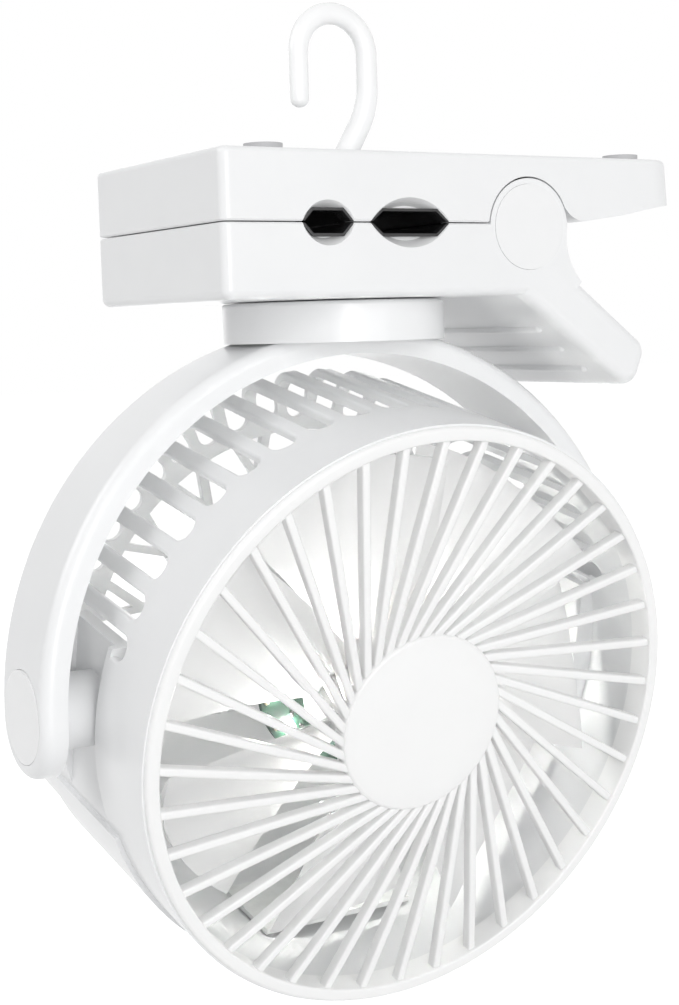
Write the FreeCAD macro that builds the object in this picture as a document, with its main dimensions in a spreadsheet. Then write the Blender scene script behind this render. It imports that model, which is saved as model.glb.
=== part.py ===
import FreeCAD, Part
import math
import os
import re

from FreeCAD import Rotation, Vector

# Portable camping fan, hung below a spring clamp, in millimetres.
# X runs along the clamp to its levers, -Y faces the viewer, +Z is up.
# The origin is where the neck's axis meets the plane on which the jaws close.

os.makedirs("parts", exist_ok=True)
doc = FreeCAD.newDocument("camping_fan")
sheet = doc.addObject("Spreadsheet::Sheet", "dims")

DIMENSIONS = {
    # clamp
    "jaw_width": 69.0,
    "jaw_left": -48.4,
    "lever_right": 86.0,
    "jaw_top": 16.5,
    "jaw_bottom": -17.3,
    "jaw_gap": 0.15,
    "pivot_x": 36.2,
    "pivot_z": -0.9,
    "ear_radius": 11.8,
    "ear_width": 10.0,
    "notch_radius": 12.2,
    "knuckle_radius": 12.1,
    "clamp_pin_radius": 2.5,
    "clamp_cap_radius": 10.4,
    "cap_depth": 2.0,
    "corner_radius": 2.2,
    "lever_corner_radius": 9.0,
    "lever_tip_radius": 4.5,
    "lever_edge_radius": 3.2,
    "parting_chamfer": 0.4,
    # pole notches
    "small_notch_x": -21.15,
    "small_notch_half": 7.05,
    "small_notch_flat": 4.2,
    "large_notch_x": 1.3,
    "large_notch_half": 11.3,
    "large_notch_flat": 7.75,
    "notch_rise": 3.25,
    "pad_left": -33.0,
    "pad_right": 17.5,
    "pad_width": 61.0,
    "pad_depth": 7.0,
    # rubber feet
    "foot_left_x": -33.0,
    "foot_right_x": 72.6,
    "foot_y": 26.0,
    "foot_radius": 4.5,
    "foot_height": 1.5,
    # hook
    "hook_x": -5.2,
    "hook_y": -12.0,
    "hook_pin_z": 13.0,
    "hook_bow_radius": 9.6,
    "hook_bow_z": 41.5,
    "hook_lean": 31.0,
    "hook_bend_radius": 20.0,
    "hook_tip_z": 30.5,
    "hook_half_width": 3.0,
    "hook_half_depth": 2.2,
    "hook_floor_z": 9.9,
    "hook_knuckle_radius": 2.6,
    "hook_pin_radius": 1.2,
    # neck and yoke
    "neck_radius": 28.0,
    "neck_top": -17.6,
    "neck_bottom": -27.5,
    "neck_hub_radius": 10.0,
    "axis_z": -111.8,
    "yoke_outer": 87.5,
    "yoke_inner": 81.3,
    "yoke_half_width": 13.4,
    "yoke_end_drop": 1.4,
    "yoke_cap_radius": 11.1,
    "yoke_cap_thickness": 1.2,
    # head
    "head_tilt": 11.5,
    "drum_radius": 73.8,
    "drum_wall": 2.2,
    "drum_front": 36.6,
    "drum_shoulder": 24.0,
    "shoulder_radius": 8.0,
    "ring_front": 38.2,
    "ring_outer": 73.3,
    "ring_inner": 70.0,
    "disc_radius": 22.6,
    "spoke_width": 2.1,
    "spoke_twist": 32.0,
    "spoke_count": 40.0,
    "slot_pitch": 8.0,
    "slot_first": 19.6,
    "slot_count": 19.0,
    "slot_width": 6.0,
    "slot_front": 18.6,
    "slot_inner": 60.0,
    "finger_edge_radius": 0.8,
    "flat_x": 69.5,
    "flat_half": 11.0,
    "boss_radius": 9.0,
    "stub_radius": 4.0,
    "battery_rear": 52.0,
    "battery_top": -23.0,
    "panel_radius": 74.9,
    "cell_radius": 8.9,
    "cell_length": 65.0,
    "cell_y": 41.0,
    "cell_upper_z": -35.2,
    "cell_lower_z": -53.8,
    "button_x": 7.0,
    "button_y": 4.0,
    "button_radius": 4.0,
    "button_gap": 0.3,
    # moving air
    "wheel_radius": 63.0,
    "wheel_hub": 16.0,
    "wheel_middle": -19.0,
    "blade_count": 7.0,
    "shaft_radius": 1.5,
    "motor_radius": 14.6,
}

for row, (alias, value) in enumerate(DIMENSIONS.items(), start=1):
    sheet.set(f"A{row}", alias)
    sheet.set(f"B{row}", str(value))
    sheet.setAlias(f"B{row}", alias)
doc.recompute()


def dim(alias):
    return float(sheet.get(alias))


def expression(text):
    def named(match):
        word = match.group(0)
        return "dims." + word if word in DIMENSIONS else word

    return re.sub(r"[a-z_]*[a-z]", named, text)


def bind(item, **sizes):
    for prop, text in sizes.items():
        item.setExpression(prop.replace("__", "."), expression(text))
    return item


pieces = {}


def keep(item, node):
    item.Label = node
    pieces[node] = item
    return item


def feature(node, shape, placement=None):
    item = doc.addObject("Part::Feature", "shape_" + node)
    item.Shape = shape
    if placement:
        item.Placement = placement
    return keep(item, node)


def along(direction):
    return Rotation(Vector(0, 0, 1), direction)


X, Y, Z = Vector(1, 0, 0), Vector(0, 1, 0), Vector(0, 0, 1)


def rod(radius, start, end):
    start, end = Vector(*start), Vector(*end)
    return Part.makeCylinder(radius, (end - start).Length, start, end - start)


def block(low, high):
    low, high = Vector(*low), Vector(*high)
    size = high - low
    return Part.makeBox(size.x, size.y, size.z, low)


def line(a, b):
    return Part.LineSegment(Vector(*a), Vector(*b))


def arc(a, b, c):
    return Part.Arc(Vector(*a), Vector(*b), Vector(*c))


def polar(centre, radius, degrees):
    a = math.radians(degrees)
    return (centre[0] + radius * math.cos(a), centre[1] + radius * math.sin(a))


def body_of_sketch(name, plane, curves, length):
    body = doc.addObject("PartDesign::Body", name + "_body")
    sketch = body.newObject("Sketcher::SketchObject", name + "_sketch")
    origin = next(f for f in body.Origin.OriginFeatures if f.Role == plane)
    sketch.AttachmentSupport = [(origin, "")]
    sketch.MapMode = "FlatFace"
    sketch.addGeometry(curves, False)
    pad = body.newObject("PartDesign::Pad", name + "_pad")
    pad.Profile = sketch
    pad.Midplane = True
    pad.setExpression("Length", expression(length))
    body.Tip = pad
    doc.recompute()
    return body


def edges_where(shape, test):
    return [e for e in shape.Edges if test(e)]


def is_vertical(edge):
    box = edge.BoundBox
    return box.ZLength > 4 and box.XLength < 0.01 and box.YLength < 0.01


def is_upright(edge):
    box = edge.BoundBox
    return box.ZLength > 4 and box.XLength < 1.5 and box.YLength < 0.01


def is_cross(edge):
    box = edge.BoundBox
    return box.YLength > 30 and box.XLength < 0.01 and box.ZLength < 0.01


def on_parting(level):
    def test(edge):
        box = edge.BoundBox
        return abs(box.ZMin - level) < 0.01 and abs(box.ZMax - level) < 0.01 and box.XMin < 20

    return test


def cylinder_object(node, radius, height, base, direction):
    item = doc.addObject("Part::Cylinder", node + "_cylinder")
    bind(item, Radius=radius, Height=height)
    item.Placement = FreeCAD.Placement(Vector(*base), along(direction))
    return keep(item, node)


jaw_half = dim("jaw_width") / 2
pivot = (dim("pivot_x"), dim("pivot_z"))
gap = dim("jaw_gap")


# A pole notch is a hexagon across the closing plane, with a round funnel at each end.
def notch_hexagon(prefix, sign, grow, y_low, y_high):
    x = dim(prefix + "_notch_x")
    half = dim(prefix + "_notch_half") + grow
    flat = dim(prefix + "_notch_flat") + grow
    rise = sign * (dim("notch_rise") + grow)
    outline = [(x - half, y_low, 0), (x - flat, y_low, rise), (x + flat, y_low, rise), (x + half, y_low, 0)]
    wire = Part.makePolygon([Vector(*p) for p in outline + outline[:1]])
    return Part.Face(wire).extrude(Vector(0, y_high - y_low, 0))


def notch_funnel(prefix, sign, rise, side):
    x = dim(prefix + "_notch_x")
    half = dim(prefix + "_notch_half")
    radius = (half ** 2 + rise ** 2) / (2 * rise)
    deep = 2.6
    start = Vector(x, side * (jaw_half + 0.01), sign * (rise - radius))
    return Part.makeCone(radius, radius - deep * 0.7, deep, start, Vector(0, -side, 0))


def notch_cuts(sign, small_rise, large_rise):
    cuts = []
    for prefix, rise in (("small", small_rise), ("large", large_rise)):
        cuts.append(notch_hexagon(prefix, sign, 0.0, -jaw_half - 1, jaw_half + 1))
        cuts += [notch_funnel(prefix, sign, rise, side) for side in (-1, 1)]
    return cuts


def pad_room(sign, grow):
    low, high = sorted((sign * (gap - 1), sign * (dim("pad_depth") + grow)))
    half = dim("pad_width") / 2 + grow
    return block((dim("pad_left") - grow, -half, low), (dim("pad_right") + grow, half, high))


def upper_jaw():
    left, right, top = dim("jaw_left"), dim("lever_right"), dim("jaw_top")
    notch = dim("notch_radius")
    rise = math.degrees(math.asin((gap - pivot[1]) / notch))
    notch_left = polar(pivot, notch, 180 - rise)
    notch_top = polar(pivot, notch, 95)
    notch_right = polar(pivot, notch, 32)
    curves = [
        line((left, gap, 0), (left, top, 0)),
        line((left, top, 0), (right - 1.0, top, 0)),
        line((right - 1.0, top, 0), (right, 5.2, 0)),
        arc((right, 5.2, 0), (77.0, 4.2, 0), (68.0, 2.4, 0)),
        line((68.0, 2.4, 0), (54.0, 0.6, 0)),
        arc((54.0, 0.6, 0), (49.4, 1.9, 0), (*notch_right, 0)),
        arc((*notch_right, 0), (*notch_top, 0), (*notch_left, 0)),
        line((*notch_left, 0), (left, gap, 0)),
    ]
    shell = body_of_sketch("upper_jaw", "XZ_Plane", curves, "jaw_width").Shape
    jaw_end = edges_where(shell, lambda e: is_upright(e) and e.BoundBox.XMax < -40)
    shell = shell.makeFillet(dim("corner_radius"), jaw_end)
    lever_end = edges_where(shell, lambda e: is_upright(e) and e.BoundBox.XMin > 80)
    shell = shell.makeFillet(dim("lever_corner_radius"), lever_end)
    rim = edges_where(shell, lambda e: e.BoundBox.ZMin > top - 0.01)
    shell = shell.makeFillet(1.4, rim)
    shell = shell.makeChamfer(dim("parting_chamfer"), edges_where(shell, on_parting(gap)))
    inner = jaw_half - dim("ear_width") - 0.3
    knuckle = rod(dim("knuckle_radius"), (pivot[0], -inner, pivot[1]), (pivot[0], inner, pivot[1]))
    shell = shell.fuse(knuckle)
    coil_room = rod(8.6, (pivot[0], -9.7, pivot[1]), (pivot[0], 9.7, pivot[1]))
    bore = rod(dim("clamp_pin_radius"), (pivot[0], -jaw_half, pivot[1]), (pivot[0], jaw_half, pivot[1]))
    floor = dim("hook_floor_z")
    hook_room = block((-18.4, -16.6, floor), (8.6, 30.4, top + 1))
    hook_room = hook_room.makeFillet(5.0, edges_where(hook_room, is_vertical))
    pin_y, pin_z = dim("hook_y"), dim("hook_pin_z")
    pin_hole = rod(dim("hook_pin_radius"), (-22.0, pin_y, pin_z), (12.0, pin_y, pin_z))
    cuts = notch_cuts(1, 5.0, 5.8) + [pad_room(1, 0.0), coil_room, bore, hook_room, pin_hole]
    shell = shell.cut(cuts)
    for x in (dim("foot_left_x"), dim("foot_right_x")):
        for y in (-dim("foot_y"), dim("foot_y")):
            shell = shell.cut(rod(dim("foot_radius"), (x, y, top - 1.5), (x, y, top + 1)))
    return shell


# The lower lever leaves the jaw at a slant; its underside faces the fingers.
lever_root, lever_heel = (30.8, -15.3), (69.8, -43.2)


def bent_lever():
    corners = [lever_root, lever_heel, (74.6, -31.2), (52.4, -14.4), (44.0, -8.0)]
    wire = Part.makePolygon([Vector(x, -jaw_half, z) for x, z in corners + corners[:1]])
    lever = Part.Face(wire).extrude(Vector(0, dim("jaw_width"), 0))
    tips = edges_where(lever, lambda e: is_cross(e) and e.BoundBox.XMin > 66)
    lever = lever.makeFillet(dim("lever_tip_radius"), tips)

    def is_long_under(edge):
        box = edge.BoundBox
        return box.YLength < 0.01 and box.XMin < 31 and box.XMax > 60

    return lever.makeFillet(dim("lever_edge_radius"), edges_where(lever, is_long_under))


def lower_jaw():
    left, bottom = dim("jaw_left"), dim("jaw_bottom")
    ear = dim("ear_radius")
    rise = math.degrees(math.asin((-gap - pivot[1]) / ear))
    ear_left = polar(pivot, ear, 180 - rise)
    ear_top = polar(pivot, ear, 90)
    ear_right = polar(pivot, ear, -12)
    curves = [
        line((left, -gap, 0), (*ear_left, 0)),
        arc((*ear_left, 0), (*ear_top, 0), (*ear_right, 0)),
        arc((*ear_right, 0), (48.7, -8.6, 0), (52.4, -14.4, 0)),
        line((52.4, -14.4, 0), (50.0, bottom, 0)),
        line((50.0, bottom, 0), (left, bottom, 0)),
        line((left, bottom, 0), (left, -gap, 0)),
    ]
    shell = body_of_sketch("lower_jaw", "XZ_Plane", curves, "jaw_width").Shape
    jaw_end = edges_where(shell, lambda e: is_upright(e) and e.BoundBox.XMax < -40)
    shell = shell.makeFillet(dim("corner_radius"), jaw_end)
    under = edges_where(shell, lambda e: e.BoundBox.ZMax < bottom + 0.01 and e.BoundBox.XMin < 49.9)
    shell = shell.makeFillet(dim("corner_radius") - 0.1, under)
    shell = shell.fuse(bent_lever()).removeSplitter()
    shell = shell.makeChamfer(dim("parting_chamfer"), edges_where(shell, on_parting(-gap)))
    inner = jaw_half - dim("ear_width")
    centre = rod(dim("notch_radius") + 0.4, (pivot[0], -inner, pivot[1]), (pivot[0], inner, pivot[1]))
    above = block((pivot[0] - 13, -inner, -gap), (pivot[0] + 14, inner, 14))
    bore = rod(dim("clamp_pin_radius") + 0.05, (pivot[0], -jaw_half, pivot[1]), (pivot[0], jaw_half, pivot[1]))
    cap_room = [
        rod(dim("clamp_cap_radius") + 0.05, (pivot[0], side * (jaw_half - dim("cap_depth")), pivot[1]),
            (pivot[0], side * (jaw_half + 1), pivot[1]))
        for side in (-1, 1)
    ]
    hub = dim("neck_hub_radius")
    hub_bore = rod(hub + 0.06, (0, 0, bottom - 1), (0, 0, -10))
    washer_room = rod(15.0, (0, 0, -13.3), (0, 0, -6))
    cuts = notch_cuts(-1, 5.4, 5.9) + [pad_room(-1, 0.0), centre, above, bore, hub_bore, washer_room] + cap_room
    shell = shell.cut(cuts)
    # three low ribs across the underside of the lever, for the fingers
    slope = math.atan2(lever_heel[1] - lever_root[1], lever_heel[0] - lever_root[0])
    ribs = []
    for step in (18.5, 27.5, 36.5):
        x = lever_root[0] + step * math.cos(slope)
        z = lever_root[1] + step * math.sin(slope)
        ribs.append(rod(1.2, (x, -25, z + 0.35), (x, 25, z + 0.35)))
        ribs += [Part.makeSphere(1.2, Vector(x, y, z + 0.35)) for y in (-25, 25)]
    return shell.fuse(ribs)


def grip_pad(sign):
    pad = pad_room(sign, 0.0)
    low, high = sorted((sign * gap, sign * -60))
    closing = block((-60, -60, low), (60, 60, high))
    notches = [notch_hexagon(prefix, sign, 0.0, -40, 40) for prefix in ("small", "large")]
    pad = pad.cut([closing] + notches)
    grooves = []
    for x in (-31.0, -12.2, 14.6):
        for y in range(-24, 25, 8):
            low, high = sorted((sign * (gap - 0.2), sign * (gap + 0.6)))
            grooves.append(block((x - 1.0, y - 1.2, low), (x + 1.0, y + 1.2, high)))
    return pad.cut(grooves)


# The hook is one flattened rod: a leaning stem, a gentle bend, a half-round bow and a short tip.
def hook():
    x0, y0, z0 = dim("hook_x"), dim("hook_y"), dim("hook_pin_z")
    lean = math.radians(dim("hook_lean"))
    bend, bow = dim("hook_bend_radius"), dim("hook_bow_radius")
    right, left = x0 + bow, x0 - bow
    bend_x = right - bend * (1 - math.cos(lean))
    bend_low = z0 + (bend_x - x0) / math.tan(lean)
    bend_high = bend_low + bend * math.sin(lean)
    half = lean / 2
    mid = (right - bend * (1 - math.cos(half)), y0, bend_high - bend * math.sin(half))
    bow_z, tip_z = dim("hook_bow_z"), dim("hook_tip_z")
    path = Part.Wire([
        line((x0, y0, z0), (bend_x, y0, bend_low)).toShape(),
        arc((bend_x, y0, bend_low), mid, (right, y0, bend_high)).toShape(),
        line((right, y0, bend_high), (right, y0, bow_z)).toShape(),
        arc((right, y0, bow_z), (x0, y0, bow_z + bow), (left, y0, bow_z)).toShape(),
        line((left, y0, bow_z), (left, y0, tip_z)).toShape(),
    ])

    def section(centre, direction, wide, deep):
        across = direction.cross(Y)
        ellipse = Part.Ellipse(Vector(0, 0, 0), wide, deep)
        edge = ellipse.toShape()
        edge.Placement = FreeCAD.Placement(centre, Rotation(across, Y, direction, "XYZ"))
        return Part.Wire(edge)

    start_dir = Vector(math.sin(lean), 0, math.cos(lean))
    wide, deep = dim("hook_half_width"), dim("hook_half_depth")
    sweep = Part.BRepOffsetAPI.MakePipeShell(path)
    sweep.add(section(Vector(x0, y0, z0), start_dir, wide, deep))
    sweep.add(section(Vector(left, y0, tip_z), Vector(0, 0, -1), wide * 0.8, deep * 0.9))
    sweep.build()
    sweep.makeSolid()
    bar = sweep.shape()
    tip = Part.makeSphere(1.0)
    squash = FreeCAD.Matrix()
    squash.scale(wide * 0.8, deep * 0.9, 2.0)
    tip = tip.transformGeometry(squash)
    tip.translate(Vector(left, y0, tip_z))
    knuckle = rod(dim("hook_knuckle_radius"), (x0 - 4.5, y0, z0), (x0 + 4.5, y0, z0))
    body = bar.fuse([tip, knuckle]).removeSplitter()
    return body.cut(rod(dim("hook_pin_radius") + 0.05, (x0 - 9, y0, z0), (x0 + 9, y0, z0)))


# A close wound torsion spring: a helix round the clamp pin, with a straight leg at each end.
def torsion_spring():
    mean, wire, turns, pitch = 6.3, 0.8, 6, 2.35
    coil = Part.Wire(Part.makeHelix(pitch, pitch * turns, mean).Edges)
    sweep = Part.BRepOffsetAPI.MakePipeShell(coil)
    sweep.setFrenetMode(True)
    sweep.add(Part.Wire(Part.Circle(Vector(mean, 0, 0), Y, wire).toShape()))
    sweep.build()
    sweep.makeSolid()
    top = pitch * turns
    legs = [rod(wire, (mean, 0, 0), (mean, -5, 0)), rod(wire, (mean, 0, top), (mean, 5, top))]
    spring = sweep.shape().fuse(legs)
    spring.rotate(Vector(0, 0, 0), X, -90)
    spring.translate(Vector(pivot[0], -top / 2, pivot[1]))
    return spring


def neck():
    top, bottom = dim("neck_top"), dim("neck_bottom")
    disc = rod(dim("neck_radius"), (0, 0, bottom), (0, 0, top))
    disc = disc.makeFillet(1.0, edges_where(disc, lambda e: e.BoundBox.ZMin > top - 0.01))
    hub = rod(dim("neck_hub_radius"), (0, 0, top - 1), (0, 0, -13.2))
    bore = rod(2.2, (0, 0, bottom - 1), (0, 0, -10))
    return disc.fuse(hub).cut(bore)


def yoke():
    outer, inner = dim("yoke_outer"), dim("yoke_inner")
    half, axis_z = dim("yoke_half_width"), dim("axis_z")
    drop = dim("yoke_end_drop")
    low = axis_z - drop - half
    ring = rod(outer, (0, -half, axis_z), (0, half, axis_z))
    ring = ring.common(block((-90, -20, axis_z), (90, 20, 0)))
    ring = ring.fuse(block((-outer, -half, low - 1), (outer, half, axis_z)))
    ring = ring.cut(rod(inner, (0, -20, axis_z), (0, 20, axis_z)))
    ring = ring.cut(block((-inner, -20, low - 2), (inner, 20, axis_z)))
    envelope = block((-100, -half, axis_z - drop), (100, half, 0))
    envelope = envelope.fuse(rod(half, (-100, 0, axis_z - drop), (100, 0, axis_z - drop)))
    ring = ring.common(envelope).removeSplitter()

    def on_outside(edge):
        for p in edge.discretize(5):
            radius = math.hypot(p.x, p.z - axis_z) if p.z > axis_z else abs(p.x)
            if abs(radius - outer) > 0.02:
                return False
        box = edge.BoundBox
        return box.YLength > 1 or abs(abs(box.YMin) - half) < 0.01 and box.YLength < 0.01

    def is_seam(edge):
        return edge.BoundBox.YLength > 25 and edge.BoundBox.ZLength < 0.01

    ring = ring.makeFillet(2.8, edges_where(ring, lambda e: on_outside(e) and not is_seam(e)))
    ring = ring.cut(block((-60, -20, dim("neck_bottom")), (60, 20, 0)))
    cuts = [rod(2.2, (0, 0, -40), (0, 0, -20))]
    for side in (-1, 1):
        cuts.append(rod(dim("stub_radius") + 0.06, (side * 75, 0, axis_z), (side * 90, 0, axis_z)))
        cuts.append(rod(dim("yoke_cap_radius") + 0.1, (side * 84.2, 0, axis_z), (side * 90, 0, axis_z)))
    return ring.cut(cuts)


head_place = FreeCAD.Placement(Vector(0, 0, dim("axis_z")), Rotation(X, dim("head_tilt")))


def turned(shape, degrees):
    copy = shape.copy()
    copy.rotate(Vector(0, 0, 0), Vector(0, -1, 0), degrees)
    return copy


# Profile points are (radius, y); the revolved solid stands on the head's own axis, facing -Y.
def revolved(points_and_arcs):
    edges = [c.toShape() for c in points_and_arcs]
    return Part.Face(Part.Wire(edges)).revolve(Vector(0, 0, 0), Y, 360)


def bar_between(inner, outer, width, y_low, y_high):
    a, b = Vector(inner[0], 0, inner[1]), Vector(outer[0], 0, outer[1])
    run = b - a
    side = run.cross(Y).normalize() * (width / 2)
    corners = [a - side, b - side, b + side, a + side, a - side]
    wire = Part.makePolygon([Vector(p.x, y_low, p.z) for p in corners])
    return Part.Face(wire).extrude(Vector(0, y_high - y_low, 0))


def button_holes():
    x, y = dim("button_x"), dim("button_y")
    radius = dim("button_radius") + dim("button_gap")
    return [rod(radius, (side * x, y, -80), (side * x, y, -66)) for side in (-1, 1)]


def finger_slot():
    inner, width = dim("slot_inner"), dim("slot_width")
    front = -dim("slot_front") + width / 2
    slot = block((inner, front, -width / 2), (90, 50, width / 2))
    ends = edges_where(slot, lambda e: e.BoundBox.XMax < inner + 0.01 and e.BoundBox.YLength > 10)
    slot = slot.makeFillet(width / 2 - 0.01, ends)
    return slot.fuse(rod(width / 2, (inner, front, 0), (90, front, 0))).removeSplitter()


# An edge of a slot that lies on the outer face of the drum, its shoulder or its rear face.
def is_finger_edge(edge):
    r, shoulder, bend = dim("drum_radius"), dim("drum_shoulder"), dim("shoulder_radius")
    if not 1 < edge.Length < 70:
        return False
    for p in edge.discretize(5):
        radius = math.hypot(p.x, p.z)
        off = abs(radius - r) if p.y <= shoulder else abs(p.y - shoulder - bend)
        if p.y > shoulder and radius > r - bend:
            off = abs(math.hypot(radius - (r - bend), p.y - shoulder) - bend)
        if off > 0.02 or p.y < 2 - dim("drum_front"):
            return False
    return True


def rear_housing():
    r, wall = dim("drum_radius"), dim("drum_wall")
    front, shoulder, bend = -dim("drum_front"), dim("drum_shoulder"), dim("shoulder_radius")
    rear = shoulder + bend
    c = math.sqrt(0.5)
    inner_bend = bend - wall
    profile = [
        line((r - wall, front, 0), (r, front, 0)),
        line((r, front, 0), (r, shoulder, 0)),
        arc((r, shoulder, 0), (r - bend + bend * c, shoulder + bend * c, 0), (r - bend, rear, 0)),
        line((r - bend, rear, 0), (0, rear, 0)),
        line((0, rear, 0), (0, rear - wall, 0)),
        line((0, rear - wall, 0), (r - bend, rear - wall, 0)),
        arc((r - bend, rear - wall, 0), (r - bend + inner_bend * c, shoulder + inner_bend * c, 0),
            (r - wall, shoulder, 0)),
        line((r - wall, shoulder, 0), (r - wall, front, 0)),
    ]
    drum = revolved(profile)
    # slots that run back over the shoulder, so the ribs between them read as fingers
    first, pitch, count = dim("slot_first"), dim("slot_pitch"), int(dim("slot_count"))
    slot = finger_slot()
    drum = drum.cut([turned(slot, first + k * pitch) for k in range(count)])
    drum = drum.makeFillet(dim("finger_edge_radius"), edges_where(drum, is_finger_edge))
    top = dim("battery_top")
    below = block((-90, -60, -90), (90, 60, top))
    # battery sector behind the rear face, open to the rear for its cover
    box_rear = dim("battery_rear") - 2.0
    sector = rod(r, (0, shoulder - 2, 0), (0, box_rear, 0)).common(below)
    hollow = rod(r - wall, (0, rear, 0), (0, box_rear + 1, 0)).common(block((-90, 0, -90), (90, 90, top - 2.0)))
    inside = rod(r - wall, (0, front, 0), (0, rear - wall, 0))
    drum = drum.fuse(sector.cut(inside)).cut(hollow)
    # side flats that carry the pivot bosses
    flat, half = dim("flat_x"), dim("flat_half")
    shell = rod(r, (0, front, 0), (0, shoulder, 0))
    for side in (-1, 1):
        low, high = sorted((side * 66.0, side * 80.0))
        cheek = block((low, -half - 2, -19.5), (high, half + 2, 19.5)).common(shell)
        low, high = sorted((side * flat, side * 90.0))
        recess = block((low, -half, -40), (high, half, 40))
        drum = drum.fuse(cheek).cut(recess)
        drum = drum.fuse(rod(dim("boss_radius"), (side * 66.5, 0, 0), (side * 80.4, 0, 0)))
        drum = drum.fuse(rod(dim("stub_radius"), (side * 80, 0, 0), (side * 84.1, 0, 0)))
        drum = drum.cut(rod(1.5, (side * 72, 0, 0), (side * 90, 0, 0)))
    # rear grille: crossing skewed bars from a hub to the ring inside the fingers
    hole = rod(56.5, (0, rear - 5, 0), (0, rear + 5, 0)).cut(rod(21.0, (0, 0, 0), (0, 60, 0)))
    hole = hole.common(block((-90, 0, top + 1.5), (90, 90, 90)))
    drum = drum.cut(hole)
    bars = []
    rim = polar((0, 0), 58.0, 0)
    outer_bar = bar_between(polar((0, 0), 20.0, 38), rim, 2.4, rear - wall, rear)
    inner_bar = bar_between(polar((0, 0), 20.0, -38), rim, 2.0, rear - wall, rear - 0.6)
    for k in range(18):
        bars.append(turned(outer_bar, 20 * k))
        bars.append(turned(inner_bar, 20 * k + 10))
    above = block((-90, 0, top), (90, 90, 90))
    drum = drum.fuse([b.common(above) for b in bars])
    # motor cup
    cup = rod(17.4, (0, 1.0, 0), (0, rear - 1, 0))
    cup = cup.cut(rod(dim("motor_radius") + 0.05, (0, -1, 0), (0, rear - wall, 0)))
    drum = drum.fuse(cup)
    return drum.cut(button_holes())


def front_grille():
    face, ring_in, ring_out = -dim("ring_front"), dim("ring_inner"), dim("ring_outer")
    front = -dim("drum_front")
    ring = rod(ring_out, (0, face, 0), (0, front, 0))
    ring = ring.makeFillet(0.7, edges_where(ring, lambda e: e.BoundBox.YMax < face + 0.01))
    spigot = rod(dim("drum_radius") - dim("drum_wall"), (0, front, 0), (0, front + 5.5, 0))
    ring = ring.fuse(spigot).cut(rod(ring_in, (0, -50, 0), (0, -20, 0)))
    disc = rod(dim("disc_radius"), (0, -37.8, 0), (0, -33.6, 0))
    disc = disc.makeFillet(0.8, edges_where(disc, lambda e: e.BoundBox.YMax < -37.7))
    count = int(dim("spoke_count"))
    outer = polar((0, 0), ring_in + 0.6, 0)
    inner = polar((0, 0), dim("disc_radius") - 0.8, dim("spoke_twist"))
    spoke = bar_between(inner, outer, dim("spoke_width"), -37.2, -34.2)
    spokes = [turned(spoke, 0.5 + 360.0 / count * k) for k in range(count)]
    return ring.fuse(spokes + [disc]).removeSplitter()


def battery_cover():
    r, rear, top = dim("drum_radius"), dim("battery_rear"), dim("battery_top")
    below = block((-90, 0, -90), (90, 90, top))
    plate = rod(r, (0, rear - 2.0, 0), (0, rear, 0)).common(below)
    plate = plate.makeFillet(1.6, edges_where(plate, lambda e: e.BoundBox.YMin > rear - 0.01))
    lip = rod(r - 2.4, (0, rear - 4.0, 0), (0, rear - 2.0, 0)).common(block((-90, 0, -90), (90, 90, top - 2.2)))
    lip = lip.cut(rod(r - 4.2, (0, 0, 0), (0, 90, 0)).common(block((-90, 0, -90), (90, 90, top - 4.0))))
    cover = plate.fuse(lip)
    port = block((35.3, 30, -31.9), (44.7, 60, -28.1))
    holes = [rod(1.5, (x, 40, -36), (x, 60, -36)) for x in (-54, 54)]
    heads = [rod(3.0, (x, rear - 1.3, -36), (x, 60, -36)) for x in (-54, 54)]
    return cover.cut([port] + holes + heads)


def cover_screw(x):
    rear = dim("battery_rear")
    head = rod(2.9, (x, rear - 1.3, -36), (x, rear - 0.1, -36))
    shank = rod(1.4, (x, rear - 8.0, -36), (x, rear - 1.2, -36))
    across = block((x - 2.2, rear - 0.7, -36.3), (x + 2.2, rear + 1, -35.7))
    upright = block((x - 0.3, rear - 0.7, -38.2), (x + 0.3, rear + 1, -33.8))
    return head.fuse(shank).cut([across, upright])


def screw_post(x):
    rear = dim("battery_rear")
    return rod(3.6, (x, rear - 20.0, -36), (x, rear - 4.2, -36)).cut(rod(1.4, (x, rear - 12, -36), (x, rear, -36)))


def control_panel():
    r, outer = dim("drum_radius"), dim("panel_radius")
    shell = rod(outer, (0, -16.0, 0), (0, 28.0, 0))
    shell = shell.cut(rod(r, (0, -60, 0), (0, 60, 0)))
    first = math.radians(201)
    spread = math.tan(first)
    corners = [(0, 0), (-90, -90 * spread), (-90, -100), (90, -100), (90, -90 * spread), (0, 0)]
    wedge = Part.Face(Part.makePolygon([Vector(x, -20, z) for x, z in corners]))
    shell = shell.common(wedge.extrude(Vector(0, 60, 0)))
    return shell.cut(button_holes())


def push_button(side):
    x, y = side * dim("button_x"), dim("button_y")
    stem = rod(dim("button_radius"), (x, y, -75.7), (x, y, -69.6))
    stem = stem.makeFillet(0.6, edges_where(stem, lambda e: e.BoundBox.ZMax < -75.6))
    flange = rod(5.0, (x, y, -70.0), (x, y, -69.2))
    return stem.fuse(flange)


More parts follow.
